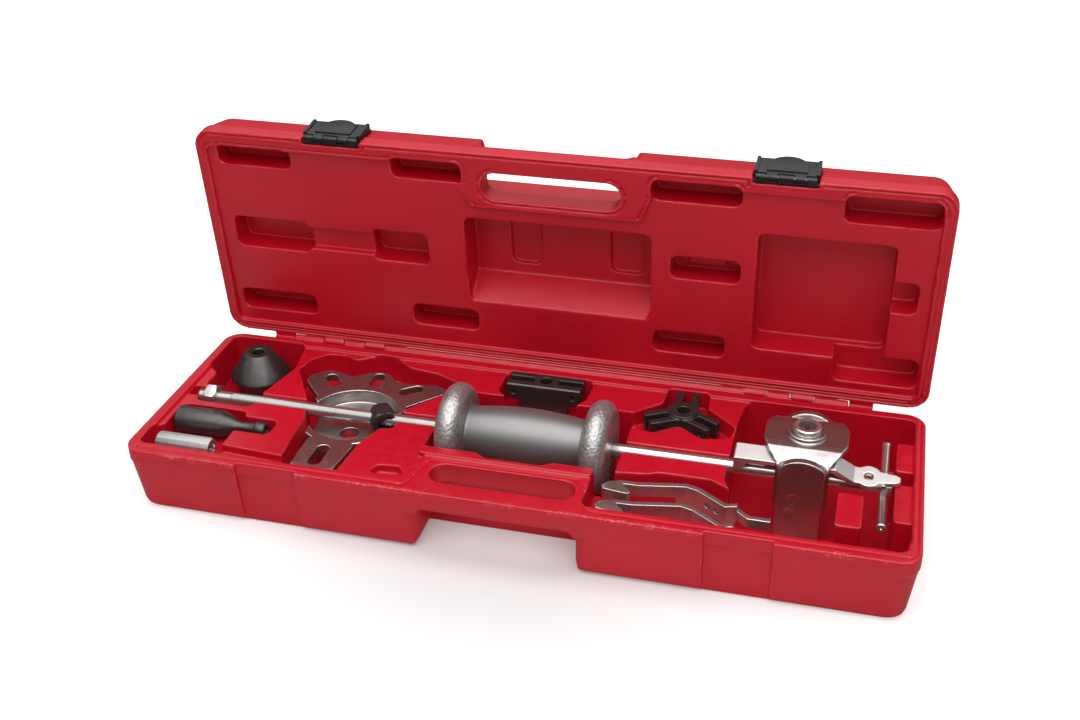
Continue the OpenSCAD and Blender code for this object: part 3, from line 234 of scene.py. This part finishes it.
def broken_edges(piece, width, segments=2, angle=32.0):
    """Bevels the edges that are sharper than the angle, in degrees"""
    applied(piece, "BEVEL", width=width, segments=segments, limit_method="ANGLE",
        angle_limit=math.radians(angle), use_clamp_overlap=True, miter_outer="MITER_ARC")


def moulded(piece, voxel, passes, most):
    """Rounds every edge of a closed mesh as moulding or casting does"""
    applied(piece, "REMESH", mode="VOXEL", voxel_size=voxel, use_smooth_shade=True)
    applied(piece, "SMOOTH", factor=0.5, iterations=passes)
    count = sum(len(face.vertices) - 2 for face in piece.data.polygons)
    if count > most:
        applied(piece, "DECIMATE", decimate_type="COLLAPSE", ratio=most / count)


def smooth(piece, angle):
    """Shades the piece smooth but for edges sharper than the angle, in degrees"""
    only(piece)
    bpy.ops.object.shade_smooth_by_angle(angle=math.radians(angle))


def finished(piece, node, material):
    """Gives the piece its finish and its body, in place of its CAD node"""
    piece.data.materials.clear()
    piece.data.materials.append(material)
    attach(piece, frame["nodes"][node]["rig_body"])
    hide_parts(node)
    return piece


# ---------------------------------------------------------------- finishes

class Finish:
    """Builds one node material; points are read from Object coordinates"""

    def __init__(self, name):
        self.material = bpy.data.materials.new(name)
        self.material.use_nodes = True
        self.tree = self.material.node_tree
        self.shader = next(n for n in self.tree.nodes if n.type == "BSDF_PRINCIPLED")
        self.place = self.node("ShaderNodeTexCoord").outputs["Object"]

    def node(self, kind, values=None, **settings):
        made = self.tree.nodes.new(kind)
        for key, value in settings.items():
            setattr(made, key, value)
        for key, value in (values or {}).items():
            if isinstance(value, bpy.types.NodeSocket):
                self.tree.links.new(value, made.inputs[key])
            else:
                made.inputs[key].default_value = value
        return made

    def set(self, **values):
        """Sets or links inputs of the shader; spaces in their names are underscores"""
        for key, value in values.items():
            socket = self.shader.inputs[key.replace("_", " ")]
            if isinstance(value, bpy.types.NodeSocket):
                self.tree.links.new(value, socket)
            else:
                socket.default_value = value

    def noise(self, size, detail=4.0, rough=0.55):
        """Cloudy pattern with lumps of this size in metres"""
        return self.node("ShaderNodeTexNoise", {"Vector": self.place,
            "Scale": 1.0 / size, "Detail": detail, "Roughness": rough}).outputs["Fac"]

    def cells(self, size):
        """Soft dents of this size in metres"""
        return self.node("ShaderNodeTexVoronoi", {"Vector": self.place,
            "Scale": 1.0 / size}, feature="SMOOTH_F1").outputs["Distance"]

    def along(self, axis):
        """The place along one axis, in metres"""
        return self.node("ShaderNodeSeparateXYZ", {"Vector": self.place}).outputs[axis]

    def edges(self, low, high):
        """Grows from 0 to 1 towards outward edges"""
        return self.ramp(self.node("ShaderNodeNewGeometry").outputs["Pointiness"], low, high)

    def ramp(self, value, low, high, to_low=0.0, to_high=1.0):
        """Maps low to high onto to_low to to_high and stops there"""
        return self.node("ShaderNodeMapRange", {"Value": value, "From Min": low,
            "From Max": high, "To Min": to_low, "To Max": to_high}).outputs["Result"]

    def math(self, operation, a, b=0.0):
        return self.node("ShaderNodeMath", {0: a, 1: b}, operation=operation).outputs["Value"]

    def blend(self, factor, a, b):
        mix = self.node("ShaderNodeMix", {"Factor": factor}, data_type="RGBA")
        for key, value in ((6, a), (7, b)):
            if isinstance(value, bpy.types.NodeSocket):
                self.tree.links.new(value, mix.inputs[key])
            else:
                mix.inputs[key].default_value = (*value[:3], 1.0)
        return mix.outputs[2]

    def bump(self, height, depth, normal=None):
        """Relief of this depth in metres, over another one if given"""
        values = {"Height": height, "Strength": 1.0, "Distance": depth}
        if normal is not None:
            values["Normal"] = normal
        return self.node("ShaderNodeBump", values).outputs["Normal"]


MOST = (0.3, 0.7)                   # span that holds most values of a noise
RIM_FRONT = (-0.1080, -0.1115)      # metres in Y: where the base's scraped front rim begins
RIM_TOP = (0.0620, 0.0655)          # metres in Z: the same upwards
SCRAPED_RED = (0.80, 0.16, 0.17)    # paler red of rubbed and scraped plastic, also used for the paler patches along outward edges
PIN_GREYS = ((0.42, 0.42, 0.43), (0.58, 0.58, 0.58))    # darkest and palest steel of the pins
FLOOR_GREYS = ((0.90, 0.90, 0.90), (0.92, 0.92, 0.92))  # darkest and palest patches of floor
FLOOR_PAINTED_IN_REFLECTIONS = (0.06, 0.06, 0.06)     # painted reflection: the floor as the tools' reflections show it, painted nearly black
GLOW_NEAR = (0.12, 0.6)             # distance in metres from the middle, and the weaker glow there that paints shade round the case
GLOW_FAR = (0.62, 4.0)              # the same where the floor is plain white
ROOM_LOW = (0.22, 0.06)             # height of a reflected ray's direction, and light there
ROOM_HIGH = (0.62, 1.20)            # the same where the room is brightest


def shade(colour, factor):
    """The colour made darker or brighter"""
    return tuple(channel * factor for channel in colour)


def red_plastic(colour):
    """Satin moulded plastic: fine grain, slow waves, faint scuffs, a scraped front rim and
    paler patches along outward edges
    """
    f = Finish("moulded_red_plastic")
    slow = f.noise(0.09, 3.0)
    scuffs = f.ramp(f.noise(0.006, 6.0, 0.7), 0.60, 0.74)
    # paler patches along outward edges, from the geometry's pointiness masked by noise
    pale_edge_patches = f.math("MULTIPLY", f.edges(0.51, 0.56), f.ramp(f.noise(0.016, 6.0, 0.7), 0.46, 0.60))
    rim = f.math("MULTIPLY", f.ramp(f.along("Y"), *RIM_FRONT), f.ramp(f.along("Z"), *RIM_TOP))
    scraped = f.math("MULTIPLY", rim, f.ramp(f.noise(0.0032, 5.0, 0.7), 0.50, 0.60))
    scraped = f.math("MULTIPLY", scraped, f.ramp(f.noise(0.030, 2.0), 0.44, 0.56))
    base = f.blend(f.ramp(slow, *MOST), shade(colour, 0.94), shade(colour, 1.05))
    pale_marks = f.math("MAXIMUM", f.math("MULTIPLY", scuffs, 0.06), f.math("MULTIPLY", pale_edge_patches, 0.50))
    pale_marks = f.math("MAXIMUM", pale_marks, f.math("MULTIPLY", scraped, 0.75))
    f.set(Base_Color=f.blend(pale_marks, base, SCRAPED_RED), IOR=1.49,
        Roughness=f.ramp(f.noise(0.012, 5.0), *MOST, 0.33, 0.45),
        Normal=f.bump(f.noise(0.0011, 2.0), 0.00006, f.bump(f.noise(0.022, 2.0), 0.00035)))
    return f.material


def black_plastic(colour):
    """Plain satin plastic of the latches"""
    f = Finish("latch_black_plastic")
    f.set(Base_Color=f.blend(f.noise(0.008, 4.0), shade(colour, 0.8), shade(colour, 1.5)),
        Roughness=f.ramp(f.noise(0.003, 4.0), *MOST, 0.38, 0.55),
        Normal=f.bump(f.noise(0.0009, 2.0), 0.00005))
    return f.material


def chrome_plate(name, colour, dull):
    """Bright plating with faint ripples and dull marks; dull is its least roughness"""
    f = Finish(name)
    marks = f.ramp(f.noise(0.005, 6.0, 0.65), 0.55, 0.75)
    f.set(Base_Color=f.blend(marks, colour, shade(colour, 0.72)), Metallic=0.85,
        Roughness=f.math("ADD", f.ramp(f.noise(0.011, 4.0), *MOST, dull, dull + 0.10),
            f.math("MULTIPLY", marks, 0.14)),
        Normal=f.bump(f.noise(0.0035, 3.0), 0.00004))
    return f.material


def drawn_steel():
    """Bare grey steel of the pins"""
    f = Finish("drawn_pin_steel")
    f.set(Base_Color=f.blend(f.noise(0.004, 4.0), *PIN_GREYS),
        Metallic=1.0, Roughness=f.ramp(f.noise(0.002, 3.0), *MOST, 0.28, 0.42))
    return f.material


def plated_casting(colour):
    """Plating over a rough casting: lumpy skin, small pits, dull clouds, and a painted
    highlight along its outward edges
    """
    f = Finish("plated_rough_casting")
    lumps = f.noise(0.0080, 3.0, 0.45)
    pits = f.ramp(f.noise(0.0024, 3.0, 0.5), 0.66, 0.84)
    dull = f.ramp(f.noise(0.030, 3.0, 0.45), 0.35, 0.70)
    skin = f.blend(f.math("MAXIMUM", f.math("MULTIPLY", dull, 0.6),
        f.math("MULTIPLY", pits, 0.3)), colour, shade(colour, 0.55))
    # painted highlight: outward edges, found by the geometry's pointiness, are painted up to
    # 1.7 times brighter
    f.set(Base_Color=f.blend(f.edges(0.51, 0.57), skin, shade(colour, 1.7)), Metallic=0.92,
        Roughness=f.ramp(dull, 0.0, 1.0, 0.22, 0.34),
        Normal=f.bump(pits, -0.00005, f.bump(lumps, 0.00035)))
    return f.material


def black_oxide(colour):
    """Blackened, lightly oiled steel with rubbed brighter patches"""
    f = Finish("black_oxide_steel")
    rubbed = f.ramp(f.noise(0.007, 6.0, 0.65), 0.56, 0.78)
    f.set(Base_Color=f.blend(rubbed, colour, shade(colour, 2.2)), Metallic=0.70,
        Roughness=f.ramp(f.noise(0.004, 5.0), *MOST, 0.26, 0.42),
        Normal=f.bump(f.noise(0.0016, 4.0), 0.00010))
    return f.material


def hammertone_paint(colour, middle, grip_half):
    """Hammered paint on the flanges, smooth on the grip, half its length either way"""
    f = Finish("hammertone_paint")
    away = f.math("ABSOLUTE", f.math("SUBTRACT", f.along("X"), middle))
    rough_end = f.ramp(away, grip_half - 0.002, grip_half + 0.002)
    dents = f.ramp(f.cells(0.0026), 0.05, 0.60)
    flecks = f.ramp(f.noise(0.0026, 4.0, 0.5), 0.38, 0.70)
    ends = f.blend(flecks, shade(colour, 0.72), shade(colour, 1.25))
    grip = f.blend(f.noise(0.02, 4.0), shade(colour, 0.52), shade(colour, 0.60))
    f.set(Base_Color=f.blend(rough_end, grip, ends), Metallic=0.60,
        Roughness=f.ramp(rough_end, 0.0, 1.0, 0.42, 0.33),
        Normal=f.bump(f.math("MULTIPLY", dents, rough_end), 0.00026,
            f.bump(f.noise(0.0012, 3.0), 0.00004)))
    return f.material


# ---------------------------------------------------------------- operators

class PieceOperator:
    """What the piece operators share: they make their pieces or raise"""
    bl_options = {"REGISTER", "UNDO"}

    def execute(self, context):
        self.make(*settings())
        return {"FINISHED"}


class PULLER_OT_case(PieceOperator, bpy.types.Operator):
    """Moulds the base and the lid of the case"""
    bl_idname = "puller.case"
    bl_label = "Moulded Case"

    def make(self, case, tools, stage):
        skin = red_plastic(case.red)
        for node, name in (("case_base", "moulded_base"), ("case_lid", "moulded_lid")):
            piece = merged_copy(node, name)
            if node == "case_base":
                self.deeper_groove(piece, case)
            else:
                self.lid_lines_and_recesses(piece, case)
            moulded(piece, case.voxel, case.soft_passes, case.triangles)
            smooth(piece, ALL_ROUND)
            finished(piece, node, skin)

    def deeper_groove(self, piece, case):
        """Pushes down the floor of the groove that runs round the base's rim"""
        chosen(piece, lambda face: face.normal.z > FACING
            and abs(face.center.z - case.groove_floor) < 0.00005)
        down = -BASE_DEEPER * case.groove
        bpy.ops.mesh.extrude_region_move(TRANSFORM_OT_translate={"value": (0.0, 0.0, down)})
        bpy.ops.object.mode_set(mode="OBJECT")

    def lid_lines_and_recesses(self, piece, case):
        """Cuts a line beside both edges of the lid's rim and pushes its recesses deeper"""
        hinge = next(joint for joint in frame["joints"] if joint["name"] == "lid_hinge")
        opened = math.radians(hinge["range_deg"][0])
        out = Vector((0.0, math.sin(opened), -math.cos(opened)))    # the way the open lid faces
        at = Vector(hinge["pos_m"])

        def level(face, low, high):
            """Faces that look out of the lid, from low to high under its hinge line"""
            return face.normal.dot(out) > FACING and low < (face.center - at).dot(out) < high

        chosen(piece, lambda face: level(face, -0.0004, 0.0))
        bpy.ops.mesh.inset(thickness=case.groove_in, depth=0.0)
        bpy.ops.mesh.inset(thickness=case.groove, depth=0.0, use_select_inset=True)
        bpy.ops.mesh.extrude_region_move(TRANSFORM_OT_translate={"value":
            -LID_DEEP * case.groove * out})
        bpy.ops.object.mode_set(mode="OBJECT")
        floor = -case.recess_floor
        chosen(piece, lambda face: level(face, floor - 0.0002, floor + 0.0002))
        bpy.ops.transform.translate(value=-case.recess_deeper * out)
        bpy.ops.object.mode_set(mode="OBJECT")


class PULLER_OT_latches(PieceOperator, bpy.types.Operator):
    """Makes the two latches and the pins of latches and hinges"""
    bl_idname = "puller.latches"
    bl_label = "Latches and Pins"

    def make(self, case, tools, stage):
        skin = black_plastic(case.black)
        steel = drawn_steel()
        for side in ("left", "right"):
            for part in ("latch_base_", "latch_flap_"):
                piece = merged_copy(part + side, "soft_" + part + side, CLEAR_FLAT)
                broken_edges(piece, case.latch_edge)
                smooth(piece, TURNED)
                finished(piece, part + side, skin)
            for part in ("latch_pin_", "hinge_pin_"):
                pin = merged_copy(part + side, "drawn_" + part + side, CLEAR_FLAT)
                broken_edges(pin, case.pin_edge)
                smooth(pin, TURNED)
                finished(pin, part + side, steel)


class PULLER_OT_bright_tools(PieceOperator, bpy.types.Operator):
    """Makes the plated tools: rod, nut, handle, coupling, jaws, bush and lever"""
    bl_idname = "puller.bright_tools"
    bl_label = "Bright Tools"

    def make(self, case, tools, stage):
        plate = chrome_plate("bright_chrome_plate", tools.chrome, 0.10)
        satin = chrome_plate("satin_zinc_plate", tools.chrome, 0.30)
        for node in ("slide_rod", "lock_nut", "cross_handle", "long_coupling", "yoke_bush"):
            piece = merged_copy(node, "plated_" + node, FLAT)
            if node not in ("slide_rod", "cross_handle"):
                broken_edges(piece, tools.edge)
            smooth(piece, HEXAGON)
            finished(piece, node, plate)
        # painted shade: the jaws' chrome is painted at 0.74 of its brightness for the shade of
        # the deep pocket they lie in; its least roughness is also higher
        jaw = chrome_plate("dull_jaw_plate_painted_shade", shade(tools.chrome, 0.74), 0.20)
        for node, skin in (("jaw_back", jaw), ("jaw_front", jaw), ("hook_lever", satin)):
            piece = merged_copy(node, "forged_" + node)
            moulded(piece, tools.cast_voxel * JAW_DETAIL, tools.cast_passes,
                tools.thin_triangles)
            smooth(piece, ALL_ROUND)
            finished(piece, node, skin)


class PULLER_OT_weight(PieceOperator, bpy.types.Operator):
    """Makes the sliding weight"""
    bl_idname = "puller.weight"
    bl_label = "Sliding Weight"

    def make(self, case, tools, stage):
        low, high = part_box("hammer_weight")
        middle, half = (low.x + high.x) / 2, (high.x - low.x) / 2
        piece = merged_copy("hammer_weight", "turned_weight", FLAT)
        broken_edges(piece, tools.weight_edge, segments=3, angle=50.0)
        smooth(piece, TURNED)
        finished(piece, "hammer_weight",
            hammertone_paint(tools.hammertone, middle, half - tools.flange))


class PULLER_OT_black_tools(PieceOperator, bpy.types.Operator):
    """Makes the blackened tools: cross adapter, cone, taper adapter and crossheads"""
    bl_idname = "puller.black_tools"
    bl_label = "Black Tools"

    def make(self, case, tools, stage):
        skin = black_oxide(tools.oxide)
        for node in ("cross_adapter", "pulling_cone", "taper_adapter"):
            piece = merged_copy(node, "turned_" + node, FLAT)
            broken_edges(piece, tools.edge)
            smooth(piece, TURNED)
            finished(piece, node, skin)
        for node in ("two_jaw_crosshead", "three_jaw_crosshead"):
            piece = merged_copy(node, "forged_" + node)
            moulded(piece, tools.cast_voxel * HEAD_DETAIL, tools.cast_passes,
                tools.head_triangles)
            smooth(piece, ALL_ROUND)
            finished(piece, node, skin)


class PULLER_OT_castings(PieceOperator, bpy.types.Operator):
    """Makes the plated castings: flange plate and bridge yoke"""
    bl_idname = "puller.castings"
    bl_label = "Plated Castings"

    def make(self, case, tools, stage):
        skin = plated_casting(tools.casting)
        for node in ("flange_plate", "bridge_yoke"):
            piece = merged_copy(node, "cast_" + node)
            moulded(piece, tools.cast_voxel, tools.plate_passes, tools.cast_triangles)
            smooth(piece, ALL_ROUND)
            finished(piece, node, skin)


class PULLER_OT_stage(PieceOperator, bpy.types.Operator):
    """Sets up the floor, the surroundings, the lamps and the camera"""
    bl_idname = "puller.stage"
    bl_label = "Studio"

    def make(self, case, tools, stage):
        self.floor(stage)
        self.surroundings(stage.sky)
        self.lamp("key_lamp", stage.key_at, stage.lit, stage.key_size, stage.key_power)
        self.lamp("fill_lamp", stage.fill_at, stage.lit, stage.fill_size, stage.fill_power)
        self.camera(stage)
        bpy.context.scene.view_settings.view_transform = "Standard"

    def floor(self, stage):
        """A pale floor that glows white for the camera; its glow is weaker near the middle, a
        painted shade round the case over its real shadow, and it turns plain white away from
        the case
        """
        bpy.ops.object.select_all(action="DESELECT")
        bpy.ops.mesh.primitive_plane_add(size=stage.floor_size, location=(0.0, 0.0, 0.0))
        floor = bpy.context.active_object
        floor.name = "studio_floor"
        f = Finish("studio_white")
        f.set(Roughness=0.75)
        away = f.node("ShaderNodeVectorMath", {0: f.place}, operation="LENGTH").outputs["Value"]
        ray = f.node("ShaderNodeLightPath").outputs
        pale = f.blend(f.noise(0.8, 2.0), *FLOOR_GREYS)
        # painted reflection: for reflected rays only, the floor is painted dark, fully in front
        # of the case and 62 per cent elsewhere
        painted_dark_floor_in_reflections = f.math("MULTIPLY", ray["Is Glossy Ray"],
            f.ramp(f.along("Y"), -0.18, -0.36, 0.62, 1.0))
        f.set(Base_Color=f.blend(painted_dark_floor_in_reflections, pale, FLOOR_PAINTED_IN_REFLECTIONS))
        # painted shade: the glow grows from weak near the middle to strong far off, so the
        # floor is darker round the case
        white = f.node("ShaderNodeEmission", {"Color": (1.0, 1.0, 1.0, 1.0),
            "Strength": f.ramp(away, GLOW_NEAR[0], GLOW_FAR[0], GLOW_NEAR[1], GLOW_FAR[1])})
        out = next(n for n in f.tree.nodes if n.type == "OUTPUT_MATERIAL")
        seen = f.math("MULTIPLY", ray["Is Camera Ray"], stage.floor_glow)
        mix = f.node("ShaderNodeMixShader", {0: seen, 1: f.shader.outputs["BSDF"],
            2: white.outputs["Emission"]})
        f.tree.links.new(mix.outputs["Shader"], out.inputs["Surface"])
        floor.data.materials.append(f.material)

    def surroundings(self, strength):
        """A pale room: white where the camera sees it, darker low down in reflections"""
        world = bpy.data.worlds.new("pale_surroundings")
        bpy.context.scene.world = world
        world.use_nodes = True
        tree = world.node_tree
        back = next(n for n in tree.nodes if n.type == "BACKGROUND")

        def add(kind, values):
            made = tree.nodes.new(kind)
            for key, value in values.items():
                if isinstance(value, bpy.types.NodeSocket):
                    tree.links.new(value, made.inputs[key])
                else:
                    made.inputs[key].default_value = value
            return made.outputs[0]

        ray = tree.nodes.new("ShaderNodeLightPath").outputs
        away = tree.nodes.new("ShaderNodeTexCoord").outputs["Generated"]
        height = tree.nodes.new("ShaderNodeSeparateXYZ")
        tree.links.new(away, height.inputs[0])
        room = add("ShaderNodeMapRange", {"Value": height.outputs["Z"],
            "From Min": ROOM_LOW[0], "From Max": ROOM_HIGH[0],
            "To Min": ROOM_LOW[1], "To Max": ROOM_HIGH[1]})
        mirror = add("ShaderNodeMapRange", {"Value": ray["Is Glossy Ray"], "To Min": strength,
            "To Max": room})
        level = add("ShaderNodeMapRange", {"Value": ray["Is Camera Ray"], "To Min": mirror,
            "To Max": 1.0})
        tree.links.new(level, back.inputs["Strength"])
        back.inputs["Color"].default_value = (1.0, 1.0, 1.0, 1.0)

    def lamp(self, name, at, to, size, power):
        """A square lamp at one point that faces another"""
        bpy.ops.object.light_add(type="AREA", location=at)
        lamp = bpy.context.active_object
        lamp.name = name
        lamp.data.size = size
        lamp.data.energy = power
        lamp.rotation_euler = (Vector(at) - Vector(to)).to_track_quat("Z", "Y").to_euler()

    def camera(self, stage):
        """The photo's own camera, from its heading, dip and roll"""
        forward = Vector((-math.sin(stage.heading) * math.cos(stage.dip),
            math.cos(stage.heading) * math.cos(stage.dip), -math.sin(stage.dip)))
        level = forward.cross(Vector((0.0, 0.0, 1.0))).normalized()
        over = level.cross(forward)
        right = math.cos(stage.roll) * level + math.sin(stage.roll) * over
        up = right.cross(forward)
        bpy.ops.object.camera_add(location=stage.camera_at)
        camera = bpy.context.active_object
        camera.name = "photo_camera"
        turn = Matrix((right, up, -forward)).transposed()
        camera.rotation_euler = turn.to_euler()
        camera.data.sensor_width = 36.0
        camera.data.lens = stage.lens
        camera.data.clip_start = 0.01
        camera.data.clip_end = 60.0
        bpy.context.scene.camera = camera


class PULLER_PT_panel(bpy.types.Panel):
    bl_idname = "PULLER_PT_panel"
    bl_label = "Puller Kit"
    bl_space_type = "VIEW_3D"
    bl_region_type = "UI"
    bl_category = "Puller Kit"

    def draw(self, context):
        for group, heading in (("puller_case", "Case"), ("puller_tools", "Tools"),
                ("puller_stage", "Studio")):
            box = self.layout.box()
            box.label(text=heading)
            values = getattr(context.scene, group)
            for key in values.__annotations__:
                box.prop(values, key)
        for operator in BUILDERS:
            self.layout.operator(operator.bl_idname)


BUILDERS = (PULLER_OT_stage, PULLER_OT_case, PULLER_OT_latches, PULLER_OT_bright_tools,
    PULLER_OT_weight, PULLER_OT_black_tools, PULLER_OT_castings)
GROUPS = {"puller_case": CaseSettings, "puller_tools": ToolSettings,
    "puller_stage": StageSettings}


def register():
    for kind in (*GROUPS.values(), *BUILDERS, PULLER_PT_panel):
        bpy.utils.register_class(kind)
    for name, kind in GROUPS.items():
        setattr(bpy.types.Scene, name, PointerProperty(type=kind))


def unregister():
    for name in GROUPS:
        delattr(bpy.types.Scene, name)
    for kind in (PULLER_PT_panel, *reversed(BUILDERS), *reversed(GROUPS.values())):
        bpy.utils.unregister_class(kind)


def main():
    register()
    bpy.ops.object.select_all(action="DESELECT")
    bpy.ops.puller.stage()
    bpy.ops.puller.case()
    bpy.ops.puller.latches()
    bpy.ops.puller.bright_tools()
    bpy.ops.puller.weight()
    bpy.ops.puller.black_tools()
    bpy.ops.puller.castings()
    bpy.context.view_layer.update()


if __name__ == "__main__":
    main()
